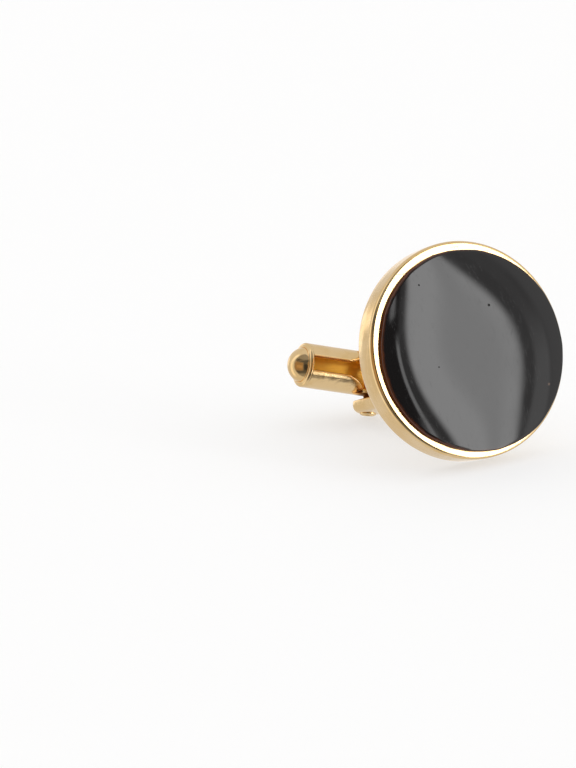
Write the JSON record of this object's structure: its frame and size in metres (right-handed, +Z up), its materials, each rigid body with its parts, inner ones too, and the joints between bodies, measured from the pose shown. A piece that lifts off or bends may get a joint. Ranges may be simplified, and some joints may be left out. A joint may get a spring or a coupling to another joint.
{
  "type": "cufflink",
  "caption": "Round cufflink: a domed black inlay in a gold-plated rimmed cup, on a fork post with a swivel toggle.",
  "frame": {"origin": "on the table, under the middle of the bounding box of the cufflink as it stands on the cup's back edge, the tip of its lower fork arm and one end of its opened toggle", "axes": "+Z up; the face looks towards -Y and, leaning back by 19 degrees, up; +X to the right of someone who looks at the face; +Y back along the post"},
  "size_m": [0.018, 0.0221, 0.0178],
  "materials": {
    "gold_plate": "polished gold plating over brass, with fine handling marks",
    "black_enamel": "glossy black resin enamel, brown and translucent at its thin edge"
  },
  "bodies": {
    "face": {"setting_and_post": "gold_plate", "inlay": "black_enamel", "pivot_pin": "gold_plate"},
    "toggle": {"toggle": "gold_plate"}
  },
  "joints": [
    {"name": "toggle_swivel", "type": "hinge", "parent": "face", "child": "toggle", "pos_m": [0, 0.00845, 0.00356], "axis": [0.2979, 0.3135, 0.9017], "range_deg": [-90, 90]}
  ]
}
